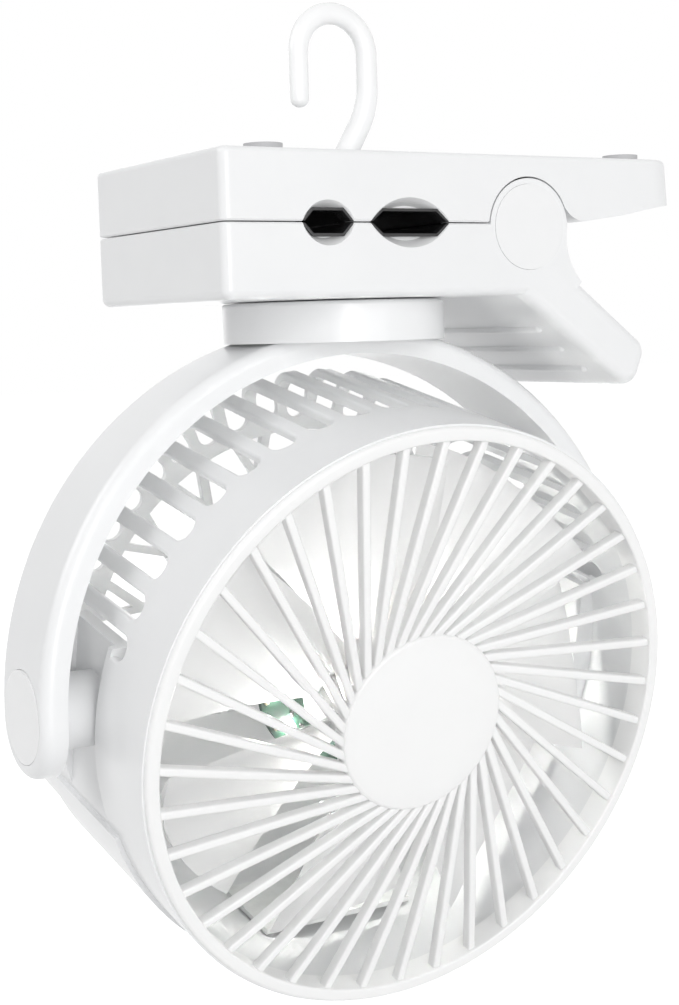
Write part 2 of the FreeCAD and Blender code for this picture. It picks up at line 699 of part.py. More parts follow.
def blade_wheel():
    hub_r, tip_r, middle = dim("wheel_hub"), dim("wheel_radius"), dim("wheel_middle")
    hub = rod(hub_r, (0, middle - 9, 0), (0, middle + 12, 0))
    hub = hub.makeFillet(3.0, edges_where(hub, lambda e: e.BoundBox.YMax < middle - 8.9))
    hub = hub.cut(rod(hub_r - 1.8, (0, middle - 6, 0), (0, middle + 13, 0)))
    hub = hub.fuse(rod(4.0, (0, middle - 7, 0), (0, middle + 8, 0)))

    # a section is a thin cambered strip across the blade, at one radius
    def section(radius, chord, pitch, sweep, thick):
        a = math.radians(pitch)
        points = []
        for side in (1, -1):
            for k in range(5):
                t = (k / 4 - 0.5) * side
                camber = 0.10 * chord * (1 - 4 * t * t) + side * thick / 2
                across = t * chord * math.cos(a) - camber * math.sin(a)
                deep = t * chord * math.sin(a) + camber * math.cos(a)
                points.append(Vector(radius, middle + deep, across + sweep))
        upper = Part.BSplineCurve()
        upper.interpolate(points[:5])
        lower = Part.BSplineCurve()
        lower.interpolate(points[5:])
        ends = [line(points[4], points[5]), line(points[9], points[0])]
        return Part.Wire([upper.toShape(), ends[0].toShape(), lower.toShape(), ends[1].toShape()])

    sections = [section(hub_r - 1.0, 17.0, 42, 0, 1.8), section(40.0, 29.0, 31, 2.0, 1.6),
                section(tip_r + 4, 38.0, 22, 6.0, 1.4)]
    blade = Part.makeLoft(sections, True)
    blade = blade.common(rod(tip_r, (0, middle - 20, 0), (0, middle + 20, 0)))
    count = int(dim("blade_count"))
    wheel = hub.fuse([turned(blade, 360.0 / count * k) for k in range(count)])
    return wheel.cut(rod(dim("shaft_radius"), (0, middle - 4, 0), (0, middle + 20, 0)))


def usb_port():
    rear = dim("battery_rear")
    shell = block((35.6, rear - 7.4, -31.6), (44.4, rear - 0.2, -28.4))
    shell = shell.makeFillet(1.4, edges_where(shell, lambda e: e.BoundBox.YLength > 5))
    room = block((36.2, rear - 6.4, -31.0), (43.8, rear + 1, -29.0))
    tongue = block((37.0, rear - 6.6, -30.3), (43.0, rear - 1.4, -29.7))
    return shell.cut(room).fuse(tongue)


def pivot_screw(side):
    shank = rod(1.5, (side * 73, 0, 0), (side * 85, 0, 0))
    head = rod(6.0, (side * 84.4, 0, 0), (side * 86.0, 0, 0))
    slot = block((85.4 if side > 0 else -90, -0.5, -4.5), (90 if side > 0 else -85.4, 0.5, 4.5))
    return shank.fuse(head).cut(slot)


def motor():
    r = dim("motor_radius")
    can = rod(r, (0, 3.0, 0), (0, 29.6, 0))
    can = can.makeFillet(1.2, edges_where(can, lambda e: e.BoundBox.YMax < 3.1))
    bush = rod(4.0, (0, 1.2, 0), (0, 3.5, 0))
    return can.fuse(bush).cut(rod(dim("shaft_radius") + 0.05, (0, -5, 0), (0, 20, 0)))


feature("upper_jaw", upper_jaw())
feature("upper_grip_pad", grip_pad(1))
feature("lower_jaw", lower_jaw())
feature("lower_grip_pad", grip_pad(-1))
feature("hook", hook())

for name_x, x_key in (("left", "foot_left_x"), ("right", "foot_right_x")):
    for name_y, sign in (("front", -1), ("back", 1)):
        spot = (dim(x_key), sign * dim("foot_y"), dim("jaw_top") - 1.5)
        cylinder_object(f"foot_{name_y}_{name_x}", "foot_radius", "foot_height + 1.5", spot, Z)

hook_pin = doc.addObject("Part::Cylinder", "hook_pin_cylinder")
bind(hook_pin, Radius="hook_pin_radius", Height="34")
hook_pin.Placement = FreeCAD.Placement(Vector(-22, dim("hook_y"), dim("hook_pin_z")), along(X))
keep(hook_pin, "hook_pin")

clamp_pin = doc.addObject("Part::Cylinder", "clamp_pin_cylinder")
bind(clamp_pin, Radius="clamp_pin_radius", Height="jaw_width - 2 * cap_depth - 0.6")
clamp_pin.Placement = FreeCAD.Placement(Vector(pivot[0], -jaw_half + dim("cap_depth") + 0.3, pivot[1]), along(Y))
keep(clamp_pin, "clamp_pin")

cap_back_y = jaw_half - dim("cap_depth")
cylinder_object("clamp_cap_back", "clamp_cap_radius", "cap_depth + 0.2", (pivot[0], cap_back_y, pivot[1]), Y)
cylinder_object("clamp_cap_front", "clamp_cap_radius", "cap_depth + 0.2", (pivot[0], -cap_back_y, pivot[1]), Y * -1)
feature("clamp_spring", torsion_spring())

feature("neck", neck())
feature("neck_washer", rod(14.0, (0, 0, -13.2), (0, 0, -12.0)).cut(rod(2.3, (0, 0, -20), (0, 0, 0))))
screw_head = rod(5.0, (0, 0, -12.0), (0, 0, -9.4)).cut(block((-3.6, -0.5, -10.4), (3.6, 0.5, -9)))
feature("neck_screw", rod(2.2, (0, 0, -29.8), (0, 0, -11)).fuse(screw_head))
feature("yoke", yoke())
for side_name, side in (("left", -1), ("right", 1)):
    start = (side * (dim("yoke_outer") - dim("yoke_cap_thickness")), 0, dim("axis_z"))
    cylinder_object(f"yoke_cap_{side_name}", "yoke_cap_radius", "yoke_cap_thickness", start, X * side)

feature("rear_housing", rear_housing(), head_place)
feature("front_grille", front_grille(), head_place)
feature("battery_cover", battery_cover(), head_place)
feature("control_panel", control_panel(), head_place)
feature("fan_button", push_button(-1), head_place)
feature("light_button", push_button(1), head_place)
feature("control_board", block((-22, -8, -67.6), (22, 16, -66.2)), head_place)
feature("usb_port", usb_port(), head_place)
for level in ("upper", "lower"):
    end, y, z = dim("cell_length") / 2, dim("cell_y"), dim(f"cell_{level}_z")
    feature(f"battery_cell_{level}", rod(dim("cell_radius"), (-end, y, z), (end, y, z)), head_place)
feature("cover_screw_left", cover_screw(-54), head_place)
feature("cover_screw_right", cover_screw(54), head_place)
feature("screw_post_left", screw_post(-54), head_place)
feature("screw_post_right", screw_post(54), head_place)
feature("pivot_screw_left", pivot_screw(-1), head_place)
feature("pivot_screw_right", pivot_screw(1), head_place)
feature("motor", motor(), head_place)
led_board = rod(25.0, (0, -1.0, 0), (0, 0.6, 0)).cut(rod(6.0, (0, -9, 0), (0, 9, 0)))
feature("led_board", led_board, head_place)
lens = rod(24.0, (0, -2.4, 0), (0, -1.0, 0)).cut(rod(17.0, (0, -9, 0), (0, 9, 0)))
feature("led_lens", lens, head_place)
feature("motor_shaft", rod(dim("shaft_radius"), (0, dim("wheel_middle") - 4, 0), (0, 15, 0)), head_place)
feature("blade_wheel", blade_wheel(), head_place)

doc.recompute()

for item in doc.Objects:
    if "Invalid" in item.State or "Error" in item.State:
        raise RuntimeError(f"{item.Label} did not recompute: {item.State}")
for node, item in pieces.items():
    shape = item.Shape
    if shape.isNull() or not shape.isValid():
        raise RuntimeError(f"{node} has no valid shape")
    if len(shape.Solids) != 1:
        raise RuntimeError(f"{node} has {len(shape.Solids)} solids")
for node, item in pieces.items():
    item.Shape.exportStep(f"parts/{node}.step")
    print(f"{node}: {item.Shape.Volume / 1000:.2f} cm3")
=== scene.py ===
import math

import bmesh
import bpy
from mathutils import Matrix, Vector


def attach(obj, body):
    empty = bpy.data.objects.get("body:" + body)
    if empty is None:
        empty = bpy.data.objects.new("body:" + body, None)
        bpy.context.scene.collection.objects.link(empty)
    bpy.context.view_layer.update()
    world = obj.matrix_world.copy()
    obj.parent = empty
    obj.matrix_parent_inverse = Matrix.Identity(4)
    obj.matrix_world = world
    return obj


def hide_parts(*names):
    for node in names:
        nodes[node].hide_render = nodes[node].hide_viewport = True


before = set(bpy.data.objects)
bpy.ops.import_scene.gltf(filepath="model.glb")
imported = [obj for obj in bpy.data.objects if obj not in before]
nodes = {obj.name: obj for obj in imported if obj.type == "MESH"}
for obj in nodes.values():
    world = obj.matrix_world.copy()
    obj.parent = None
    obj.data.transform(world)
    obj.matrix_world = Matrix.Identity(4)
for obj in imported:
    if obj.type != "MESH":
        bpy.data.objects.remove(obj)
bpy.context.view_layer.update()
print("frame loaded with", len(nodes), "nodes")


# The head is modelled facing -Y on its own axis, then turned down and hung between the arms
headPlace = {"tilt": 11.5, "axisHeight": -0.1118}


def headMatrix(s):
    lift = Matrix.Translation((0, 0, s["axisHeight"]))
    return lift @ Matrix.Rotation(math.radians(s["tilt"]), 4, "X")


# Camera: place, direction and lens fitted to the photograph's own perspective
cameraPlace = {
    "position": (-0.223775, -0.369724, -0.023476),
    "yaw": 0.545,
    "pitch": -0.104,
    "roll": -0.029,
    "lens": 60.896,
    "sensor": 36.0,
    "nearest": 0.01,
    "farthest": 50.0,
}


def makeCamera(s):
    yaw, pitch, roll = s["yaw"], s["pitch"], s["roll"]
    level = math.cos(pitch)
    forward = Vector((math.sin(yaw) * level, math.cos(yaw) * level, math.sin(pitch)))
    right = Vector((math.cos(yaw), -math.sin(yaw), 0))
    up = right.cross(forward)
    side = math.cos(roll) * right + math.sin(roll) * up
    top = -math.sin(roll) * right + math.cos(roll) * up
    data = bpy.data.cameras.new("photoCamera")
    data.sensor_fit = "AUTO"
    data.sensor_width = s["sensor"]
    data.lens = s["lens"]
    data.clip_start = s["nearest"]
    data.clip_end = s["farthest"]
    camera = bpy.data.objects.new("photoCamera", data)
    bpy.context.scene.collection.objects.link(camera)
    turn = Matrix((side, top, -forward)).transposed().to_4x4()
    camera.matrix_world = Matrix.Translation(s["position"]) @ turn
    bpy.context.scene.camera = camera


# Studio: pale floor, white surroundings and large soft lamps
studio = {
    "floorHeight": -0.30,
    "floorSize": 14.0,
    "floorColor": (0.70, 0.70, 0.70, 1),
    "floorLift": 0.72,
    "roomColor": (1, 1, 1, 1),
    "ambient": 0.50,
    "backdrop": 1.0,
    "lamps": [
        # name, place, aimed at, width, power
        ("frontSoft", (-0.10, -1.75, 0.10), (0.0, 0.0, -0.08), 1.9, 18.5),
        ("lowSoft", (-0.35, -1.50, -0.06), (0.0, 0.0, -0.10), 0.4, 3.4),
        ("backSoft", (0.5, 1.6, -0.10), (0.0, 0.0, -0.10), 1.4, 5.0),
        ("leftSoft", (-1.2, 0.2, 0.8), (-0.05, 0.0, -0.10), 0.9, 6.0),
    ],
}


def addNode(tree, kind, **inputs):
    node = tree.nodes.new(kind)
    for name, value in inputs.items():
        node.inputs[name.replace("_", " ")].default_value = value
    return node


def mathNode(tree, operation):
    node = tree.nodes.new("ShaderNodeMath")
    node.operation = operation
    return node


# One for a ray from the camera, off something glossy or through something clear, else nothing
def backdropRays(tree):
    path = tree.nodes.new("ShaderNodeLightPath")
    seen = path.outputs["Is Camera Ray"]
    for kind in ("Is Glossy Ray", "Is Transmission Ray"):
        larger = mathNode(tree, "MAXIMUM")
        tree.links.new(seen, larger.inputs[0])
        tree.links.new(path.outputs[kind], larger.inputs[1])
        seen = larger.outputs[0]
    return seen


def makeFloor(s):
    half = s["floorSize"] / 2
    corners = [(-half, -half), (half, -half), (half, half), (-half, half)]
    mesh = bpy.data.meshes.new("studioFloor")
    mesh.from_pydata([(x, y, s["floorHeight"]) for x, y in corners], [], [(0, 1, 2, 3)])
    floor = bpy.data.objects.new("studioFloor", mesh)
    bpy.context.scene.collection.objects.link(floor)
    material = bpy.data.materials.new("paleFloor")
    material.use_nodes = True
    tree = material.node_tree
    tree.nodes.clear()
    diffuse = addNode(tree, "ShaderNodeBsdfDiffuse", Color=s["floorColor"])
    glow = addNode(tree, "ShaderNodeEmission", Color=s["roomColor"])
    lift = mathNode(tree, "MULTIPLY")
    lift.inputs[1].default_value = s["floorLift"]
    both = tree.nodes.new("ShaderNodeAddShader")
    out = tree.nodes.new("ShaderNodeOutputMaterial")
    link = tree.links.new
    link(backdropRays(tree), lift.inputs[0])
    link(lift.outputs[0], glow.inputs["Strength"])
    link(diffuse.outputs[0], both.inputs[0])
    link(glow.outputs[0], both.inputs[1])
    link(both.outputs[0], out.inputs["Surface"])
    mesh.materials.append(material)


def makeRoom(s):
    world = bpy.data.worlds.new("whiteRoom")
    bpy.context.scene.world = world
    world.use_nodes = True
    tree = world.node_tree
    tree.nodes.clear()
    soft = addNode(tree, "ShaderNodeBackground", Color=s["roomColor"], Strength=s["ambient"])
    white = addNode(tree, "ShaderNodeBackground", Color=s["roomColor"], Strength=s["backdrop"])
    mix = tree.nodes.new("ShaderNodeMixShader")
    out = tree.nodes.new("ShaderNodeOutputWorld")
    link = tree.links.new
    link(backdropRays(tree), mix.inputs["Fac"])
    link(soft.outputs[0], mix.inputs[1])
    link(white.outputs[0], mix.inputs[2])
    link(mix.outputs[0], out.inputs["Surface"])


def makeLamps(s):
    for name, place, target, width, power in s["lamps"]:
        data = bpy.data.lights.new(name, "AREA")
        data.shape = "SQUARE"
        data.size = width
        data.energy = power
        lamp = bpy.data.objects.new(name, data)
        bpy.context.scene.collection.objects.link(lamp)
        lamp.location = place
        lamp.rotation_mode = "QUATERNION"
        lamp.rotation_quaternion = (Vector(target) - Vector(place)).to_track_quat("-Z", "Y")
        lamp.visible_camera = False


bpy.context.scene.view_settings.view_transform = "Standard"
makeCamera(cameraPlace)
makeFloor(studio)
makeRoom(studio)
makeLamps(studio)
print("camera and studio ready")


# Finishes: Principled shaders fed by noise on Object coordinates,
# a cloudy one for the colour and gloss and a fine one for the bump
finishLook = {
    "cloudDetail": 3.0, "cloudRoughness": 0.55, "fineDetail": 2.0, "fineRoughness": 0.6,
    "tintFrom": 0.30, "tintTo": 0.62, "coatRoughness": 0.08,
    "scatterDepth": 0.004, "scatterColor": (1.0, 1.0, 1.0),
    "glowColor": (1.0, 0.985, 0.95, 1), "glowSpread": 0.15,
}


def makeMoulded(name, color, deep, roughness, spread=0.06, grain=0.00002, grainScale=2600.0,
                mottle=45.0, metallic=0.0, coat=0.0, subsurface=0.0, s=finishLook):
    material = bpy.data.materials.new(name)
    material.use_nodes = True
    tree = material.node_tree
    tree.nodes.clear()
    place = tree.nodes.new("ShaderNodeTexCoord")
    cloud = addNode(tree, "ShaderNodeTexNoise", Scale=mottle, Detail=s["cloudDetail"],
                    Roughness=s["cloudRoughness"])
    fine = addNode(tree, "ShaderNodeTexNoise", Scale=grainScale, Detail=s["fineDetail"],
                   Roughness=s["fineRoughness"])
    tint = tree.nodes.new("ShaderNodeValToRGB")
    ends = ((s["tintFrom"], deep), (s["tintTo"], color))
    for element, (position, shade) in zip(tint.color_ramp.elements, ends):
        element.position = position
        element.color = (*shade, 1)
    gloss = addNode(tree, "ShaderNodeMapRange", To_Min=roughness - spread / 2,
                    To_Max=roughness + spread / 2)
    bump = addNode(tree, "ShaderNodeBump", Strength=1.0, Distance=grain)
    shader = addNode(tree, "ShaderNodeBsdfPrincipled", Metallic=metallic, Coat_Weight=coat,
                     Coat_Roughness=s["coatRoughness"], Subsurface_Weight=subsurface,
                     Subsurface_Scale=s["scatterDepth"], Subsurface_Radius=s["scatterColor"])
    out = tree.nodes.new("ShaderNodeOutputMaterial")
    link = tree.links.new
    link(place.outputs["Object"], cloud.inputs["Vector"])
    link(place.outputs["Object"], fine.inputs["Vector"])
    link(cloud.outputs["Fac"], tint.inputs["Fac"])
    link(cloud.outputs["Fac"], gloss.inputs["Value"])
    link(fine.outputs["Fac"], bump.inputs["Height"])
    link(tint.outputs["Color"], shader.inputs["Base Color"])
    link(gloss.outputs["Result"], shader.inputs["Roughness"])
    link(bump.outputs["Normal"], shader.inputs["Normal"])
    link(shader.outputs[0], out.inputs["Surface"])
    return material


def makeGlowing(name, color, roughness, strength, spots, s=finishLook):
    material = makeMoulded(name, color, color, roughness)
    tree = material.node_tree
    shader = next(n for n in tree.nodes if n.type == "BSDF_PRINCIPLED")
    place = next(n for n in tree.nodes if n.type == "TEX_COORD")
    cells = addNode(tree, "ShaderNodeTexNoise", Scale=spots, Detail=1.0)
    bright = addNode(tree, "ShaderNodeMapRange", To_Min=strength * (1 - s["glowSpread"]),
                     To_Max=strength * (1 + s["glowSpread"]))
    tree.links.new(place.outputs["Object"], cells.inputs["Vector"])
    tree.links.new(cells.outputs["Fac"], bright.inputs["Value"])
    tree.links.new(bright.outputs["Result"], shader.inputs["Emission Strength"])
    shader.inputs["Emission Color"].default_value = s["glowColor"]
    return material


# Colour where the cloud is light, colour where it is dark, roughness
mouldedFinishes = {
    "shellWhite": ((0.866, 0.872, 0.878), (0.850, 0.856, 0.863), 0.30, {"coat": 0.15}),
    "capWhite": ((0.880, 0.884, 0.888), (0.866, 0.870, 0.875), 0.26, {"coat": 0.2}),
    "grilleWhite": ((0.940, 0.942, 0.940), (0.928, 0.930, 0.928), 0.32, {"subsurface": 0.1}),
    "hookMilky": ((0.92, 0.925, 0.93), (0.905, 0.91, 0.915), 0.24,
                  {"subsurface": 0.5, "coat": 0.2}),
    "bladeWhite": ((0.93, 0.93, 0.93), (0.915, 0.915, 0.915), 0.22, {"subsurface": 0.65}),
    "padBlack": ((0.034, 0.034, 0.036), (0.016, 0.016, 0.017), 0.24,
                 {"spread": 0.16, "grain": 0.00008, "grainScale": 1500.0}),
    "footGrey": ((0.50, 0.50, 0.51), (0.44, 0.44, 0.45), 0.62,
                 {"spread": 0.15, "grain": 0.00006, "grainScale": 1800.0}),
    "steelPlain": ((0.66, 0.66, 0.67), (0.58, 0.58, 0.60), 0.30,
                   {"spread": 0.2, "metallic": 1.0, "mottle": 160.0}),
    "boardGreen": ((0.010, 0.040, 0.024), (0.006, 0.026, 0.016), 0.45, {"mottle": 300.0}),
    "cellBlue": ((0.10, 0.22, 0.42), (0.08, 0.18, 0.36), 0.30, {"coat": 0.3}),
    "boardWhite": ((0.86, 0.87, 0.86), (0.80, 0.81, 0.80), 0.40, {"mottle": 300.0}),
    "partDark": ((0.05, 0.05, 0.05), (0.03, 0.03, 0.03), 0.45, {"mottle": 900.0}),
    "partPale": ((0.62, 0.55, 0.40), (0.50, 0.46, 0.38), 0.45, {"mottle": 900.0}),
    "lensMilky": ((0.95, 0.95, 0.93), (0.92, 0.92, 0.90), 0.35, {}),
}
chipGlow = {"color": (1.0, 0.97, 0.88), "roughness": 0.35, "strength": 210.0, "spots": 900.0}

finishes = {}
for finishName, (light, deep, roughness, extra) in mouldedFinishes.items():
    finishes[finishName] = makeMoulded(finishName, light, deep, roughness, **extra)
finishes["chipGlow"] = makeGlowing("chipGlow", **chipGlow)

nodesOfFinish = {
    "shellWhite": ["upper_jaw", "lower_jaw", "neck", "yoke", "rear_housing", "battery_cover",
                   "control_panel"],
    "capWhite": ["clamp_cap_front", "clamp_cap_back", "yoke_cap_left", "yoke_cap_right",
                 "fan_button", "light_button", "screw_post_left", "screw_post_right"],
    "grilleWhite": ["front_grille"],
    "hookMilky": ["hook"],
    "bladeWhite": ["blade_wheel"],
    "padBlack": ["upper_grip_pad", "lower_grip_pad"],
    "footGrey": ["foot_front_left", "foot_back_left", "foot_front_right", "foot_back_right"],
    "steelPlain": ["hook_pin", "clamp_pin", "clamp_spring", "neck_washer", "neck_screw",
                   "cover_screw_left", "cover_screw_right", "pivot_screw_left",
                   "pivot_screw_right", "motor", "motor_shaft", "usb_port"],
    "boardGreen": ["led_board"],
    "boardWhite": ["control_board"],
    "cellBlue": ["battery_cell_upper", "battery_cell_lower"],
    "lensMilky": ["led_lens"],
}

for finishName, names in nodesOfFinish.items():
    for name in names:
        mesh = nodes[name].data
        mesh.materials.clear()
        mesh.materials.append(finishes[finishName])
print("finishes given to the carried-over nodes")


# Geometry Nodes: one tree repeats a shape round the head's axis, the other along a line
def newRepeatTree(name, sizes):
    tree = bpy.data.node_groups.new(name, "GeometryNodeTree")
    face = tree.interface
    face.new_socket(name="Geometry", in_out="INPUT", socket_type="NodeSocketGeometry")
    face.new_socket(name="Count", in_out="INPUT", socket_type="NodeSocketInt")
    for size in sizes:
        face.new_socket(name=size, in_out="INPUT", socket_type="NodeSocketVector")
    face.new_socket(name="Finish", in_out="INPUT", socket_type="NodeSocketMaterial")
    face.new_socket(name="Geometry", in_out="OUTPUT", socket_type="NodeSocketGeometry")
    start = tree.nodes.new("NodeGroupInput")
    points = tree.nodes.new("GeometryNodeMeshLine")
    place = tree.nodes.new("GeometryNodeInstanceOnPoints")
    realize = tree.nodes.new("GeometryNodeRealizeInstances")
    paint = tree.nodes.new("GeometryNodeSetMaterial")
    end = tree.nodes.new("NodeGroupOutput")
    points.mode = "OFFSET"
    link = tree.links.new
    link(start.outputs["Count"], points.inputs["Count"])
    link(points.outputs["Mesh"], place.inputs["Points"])
    link(start.outputs["Geometry"], place.inputs["Instance"])
    link(place.outputs["Instances"], realize.inputs["Geometry"])
    link(realize.outputs["Geometry"], paint.inputs["Geometry"])
    link(start.outputs["Finish"], paint.inputs["Material"])
    link(paint.outputs["Geometry"], end.inputs["Geometry"])
    return tree, start, points, place


def makeRoundTree():
    tree, start, points, place = newRepeatTree("repeatRound", ["Step Turn", "First Turn"])
    points.inputs["Offset"].default_value = (0, 0, 0)
    index = tree.nodes.new("GeometryNodeInputIndex")
    turn = tree.nodes.new("ShaderNodeVectorMath")
    turn.operation = "SCALE"
    total = tree.nodes.new("ShaderNodeVectorMath")
    total.operation = "ADD"
    link = tree.links.new
    link(start.outputs["Step Turn"], turn.inputs[0])
    link(index.outputs["Index"], turn.inputs["Scale"])
    link(turn.outputs[0], total.inputs[0])
    link(start.outputs["First Turn"], total.inputs[1])
    link(total.outputs[0], place.inputs["Rotation"])
    return tree


def makeRowTree():
    tree, start, points, place = newRepeatTree("repeatRow", ["Step"])
    tree.links.new(start.outputs["Step"], points.inputs["Offset"])
    return tree


roundTree = makeRoundTree()
rowTree = makeRowTree()


def growMesh(tree, mesh, values):
    item = bpy.data.objects.new("growing", mesh)
    bpy.context.scene.collection.objects.link(item)
    modifier = item.modifiers.new("grow", "NODES")
    modifier.node_group = tree
    for socket in tree.interface.items_tree:
        if socket.in_out == "INPUT" and socket.name in values:
            modifier[socket.identifier] = values[socket.name]
    graph = bpy.context.evaluated_depsgraph_get()
    graph.update()
    grown = bpy.data.meshes.new_from_object(item.evaluated_get(graph), depsgraph=graph)
    bpy.data.objects.remove(item)
    return grown


def aroundHead(mesh, count, finish, first=0.0):
    step = 2 * math.pi / count
    return growMesh(roundTree, mesh, {
        "Count": count, "Finish": finishes[finish],
        "Step Turn": (0, -step, 0), "First Turn": (0, -math.radians(first), 0),
    })


def inRow(mesh, count, step, finish):
    return growMesh(rowTree, mesh, {"Count": count, "Step": step, "Finish": finishes[finish]})


def meshFrom(form, name):
    mesh = bpy.data.meshes.new(name)
    form.to_mesh(mesh)
    form.free()
    return mesh


def roundedBox(low, high, radius, segments):
    form = bmesh.new()
    bmesh.ops.create_cube(form, size=1.0)
    for vert in form.verts:
        vert.co = Vector(high[i] if vert.co[i] > 0 else low[i] for i in range(3))
    bmesh.ops.bevel(form, geom=form.edges[:], offset=radius, segments=segments, profile=0.5,
                    affect="EDGES")
    return meshFrom(form, "roundedBox")


# Merges the doubles at a seam or pole, then turns the faces outwards
def closeForm(form):
    bmesh.ops.remove_doubles(form, verts=form.verts[:], dist=1e-6)
    bmesh.ops.recalc_face_normals(form, faces=form.faces[:])


# A closed profile of (radius, y) points turned round the head's axis
def turnedMesh(profile, steps, finish):
    form = bmesh.new()
    rings = []
    for k in range(steps):
        angle = 2 * math.pi * k / steps
        rings.append([form.verts.new((r * math.cos(angle), y, r * math.sin(angle)))
                      for r, y in profile])
    for k in range(steps):
        here, after = rings[k], rings[(k + 1) % steps]
        for j in range(len(profile)):
            nextJ = (j + 1) % len(profile)
            form.faces.new((here[j], after[j], after[nextJ], here[nextJ]))
    closeForm(form)
    mesh = meshFrom(form, "turned")
    mesh.materials.append(finishes[finish])
    return mesh


def cornerArc(centre, radius, start, end, steps=5):
    points = []
    for k in range(steps + 1):
        angle = math.radians(start + (end - start) * k / steps)
        points.append((centre[0] + radius * math.cos(angle), centre[1] + radius * math.sin(angle)))
    return points


sharpAngle = 35  # degrees between faces, past which an edge shades as sharp


def finishPiece(name, meshes, body, replaced=(), matrix=None):
    form = bmesh.new()
    finishList = []
    for mesh in meshes:
        before = len(form.faces)
        form.from_mesh(mesh)
        form.faces.ensure_lookup_table()
        slots = []
        for material in mesh.materials:
            if material not in finishList:
                finishList.append(material)
            slots.append(finishList.index(material))
        for face in form.faces[before:]:
            face.material_index = slots[min(face.material_index, len(slots) - 1)]
            face.smooth = True
    for edge in form.edges:
        if len(edge.link_faces) == 2 and edge.calc_face_angle(0) > math.radians(sharpAngle):
            edge.smooth = False
    data = meshFrom(form, name)
    for material in finishList:
        data.materials.append(material)
    if matrix is not None:
        data.transform(matrix)
    data.update()
    item = bpy.data.objects.new(name, data)
    bpy.context.scene.collection.objects.link(item)
    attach(item, body)
    if replaced:
        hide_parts(*replaced)
    print("made", name, "with", len(data.polygons), "faces")


# Front grille: 40 slanted spokes between the rim and a bare disc
grille = {
    "rimOuter": 0.0733, "rimInner": 0.0700, "rimFront": -0.0382, "rimBack": -0.0366,
    "rimRound": 0.0011, "rimInnerRound": 0.00055, "rimSteps": 240,
    "spigotOuter": 0.0716, "spigotBack": -0.0311,
    "discRadius": 0.0226, "discFront": -0.0378, "discBack": -0.0336, "discRound": 0.0011,
    "discCrown": 0.0002, "discSteps": 160,
    "spokes": 40, "spokeWidth": 0.00205, "spokeFront": -0.0373, "spokeBack": -0.0343,
    "spokeRound": 0.0005, "spokeSegments": 3, "spokeTwist": 32.0, "spokeTurn": 0.5,
    "intoDisc": 0.0008, "intoRim": 0.0006,
}


def makeSpokes(s):
    inner = s["discRadius"] - s["intoDisc"]
    outer = s["rimInner"] + s["intoRim"]
    twist = math.radians(s["spokeTwist"])
    start = Vector((inner * math.cos(twist), 0, inner * math.sin(twist)))
    run = Vector((outer, 0, 0)) - start
    half = s["spokeWidth"] / 2
    bar = roundedBox((0, s["spokeFront"], -half), (run.length, s["spokeBack"], half),
                     s["spokeRound"], s["spokeSegments"])
    slant = math.atan2(run.z, run.x)
    bar.transform(Matrix.Translation(start) @ Matrix.Rotation(-slant, 4, "Y"))
    return aroundHead(bar, s["spokes"], "grilleWhite", s["spokeTurn"])


def makeRim(s):
    r, small = s["rimRound"], s["rimInnerRound"]
    profile = [(s["rimInner"], s["spigotBack"]), (s["spigotOuter"], s["spigotBack"]),
               (s["spigotOuter"], s["rimBack"]), (s["rimOuter"], s["rimBack"])]
    profile += cornerArc((s["rimOuter"] - r, s["rimFront"] + r), r, 0, -90)
    profile += cornerArc((s["rimInner"] + small, s["rimFront"] + small), small, -90, -180)
    return turnedMesh(profile, s["rimSteps"], "grilleWhite")


def makeDisc(s):
    r, front, crown = s["discRound"], s["discFront"], s["discCrown"]
    profile = [(0, front - crown), (s["discRadius"] / 2, front - 0.75 * crown)]
    profile += cornerArc((s["discRadius"] - r, front + r), r, -90, 0)
    profile += [(s["discRadius"], s["discBack"]), (0, s["discBack"])]
    return turnedMesh(profile, s["discSteps"], "grilleWhite")


finishPiece("frontGrille", [makeRim(grille), makeSpokes(grille), makeDisc(grille)], "fan_head",
            ["front_grille"], headMatrix(headPlace))


# Lamp parts: light chips and small components on the green ring round the motor
lampRing = {
    "boardFace": -0.0010,
    "rows": [
        # finish, count, radius, half width, half length, height, rounding, segments, first angle
        ("chipGlow", 12, 0.0205, 0.0014, 0.0014, 0.0009, 0.0002, 2, 9.0),
        ("partDark", 24, 0.0180, 0.0004, 0.0008, 0.0006, 0.00012, 1, 3.0),
        ("partPale", 18, 0.0235, 0.0005, 0.0011, 0.0008, 0.00012, 1, 12.0),
    ],
}


def makeLampParts(s):
    rows = []
    for finish, count, radius, wide, long, height, rounding, segments, first in s["rows"]:
        part = roundedBox((radius - wide, s["boardFace"] - height, -long),
                          (radius + wide, s["boardFace"], long), rounding, segments)
        rows.append(aroundHead(part, count, finish, first))
    finishPiece("lampParts", rows, "fan_head", ["led_lens"], headMatrix(headPlace))


makeLampParts(lampRing)


# Fan wheel: seven cambered blades on a rounded hub
wheel = {
    "blades": 7, "hub": 0.0160, "tip": 0.0630, "middle": -0.0190, "thick": 0.0016,
    "camber": 0.10, "across": 14, "along": 10, "intoHub": 0.0008, "widestShare": 0.9,
    "hubFront": -0.0280, "hubBack": -0.0070, "hubRound": 0.0032, "hubWall": 0.0018,
    "hubFace": 0.003, "hubSteps": 96, "coreRadius": 0.004, "coreBack": 0.008,
    "sections": [
        # radius, width, pitch in degrees, sweep
        (0.0150, 0.0170, 40.0, 0.0),
        (0.0400, 0.0365, 26.0, 0.0020),
        (0.0670, 0.0580, 18.0, 0.0060),
    ],
}


def bladeSize(sections, radius):
    low, mid, high = sections
    a, b = (low, mid) if radius < mid[0] else (mid, high)
    t = (radius - a[0]) / (b[0] - a[0])
    return [a[k] + (b[k] - a[k]) * t for k in (1, 2, 3)]


